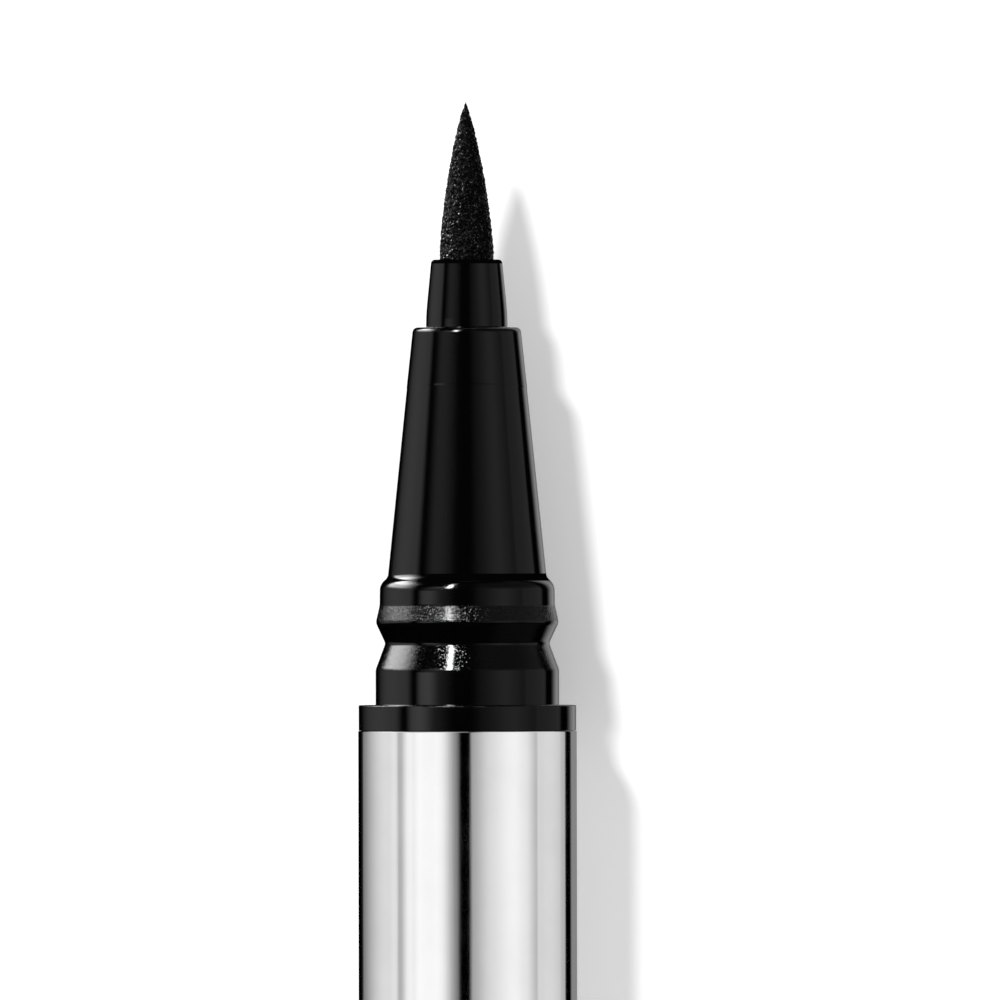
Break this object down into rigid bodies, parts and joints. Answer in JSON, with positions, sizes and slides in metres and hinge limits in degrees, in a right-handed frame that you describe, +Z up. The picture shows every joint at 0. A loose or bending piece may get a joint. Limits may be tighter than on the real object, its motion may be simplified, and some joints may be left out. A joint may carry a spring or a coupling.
{
  "type": "liquid eyeliner pen",
  "caption": "Slim liquid eyeliner pen with a felt nib, a glossy stepped front section, a chromed barrel and a pull-off chromed cap with a sprung inner seal.",
  "frame": {"origin": "the middle of the flat rear face of the tail cap, on the pen's axis", "axes": "+Y along the pen's axis from the tail to the nib, +Z up from the surface that the pen lies on, +X to the right seen from above with the nib away from the viewer"},
  "size_m": [0.0106, 0.1787, 0.0106],
  "materials": {
    "chrome": "mirror chromed metal tube",
    "black_gloss": "glossy black moulded plastic with two grained slopes",
    "felt": "black ink-soaked felt, fine loose grain",
    "tail_plastic": "glossy black moulded plastic",
    "tank_plastic": "milky translucent moulded plastic",
    "plug_plastic": "natural moulded plastic",
    "comb_plastic": "fine matt moulded plastic",
    "fibre": "bundled lengthwise fibre",
    "rubber": "moulded rubber cord",
    "steel": "polished steel ball",
    "spring_steel": "drawn spring wire",
    "liner_plastic": "white moulded plastic with a satin skin",
    "seal_plastic": "soft grey moulded plastic"
  },
  "bodies": {
    "pen": {"tail_cap": "tail_plastic", "barrel_sleeve": "chrome", "tank_plug": "plug_plastic", "ink_tank": "tank_plastic", "seal_ring": "rubber", "ink_comb": "comb_plastic", "relay_wick": "fibre", "front_section": "black_gloss", "tip_holder": "black_gloss", "felt_tip": "felt"},
    "ball": {"mixing_ball": "steel"},
    "cap": {"cap_shell": "chrome", "cap_liner": "liner_plastic", "cap_spring": "spring_steel"},
    "seal": {"seal_cup": "seal_plastic"}
  },
  "joints": [
    {"name": "cap_slide", "type": "slide", "parent": "pen", "child": "cap", "axis": [0, 1, 0], "range_m": [-0.0452, 0]},
    {"name": "seal_slide", "type": "slide", "parent": "cap", "child": "seal", "axis": [0, 1, 0], "range_m": [0, 0.003], "stiffness_N_per_m": 200, "deforming": ["cap_spring"]},
    {"name": "ball_slide", "type": "slide", "parent": "pen", "child": "ball", "axis": [0, 1, 0], "range_m": [-0.0215, 0.0263]}
  ]
}
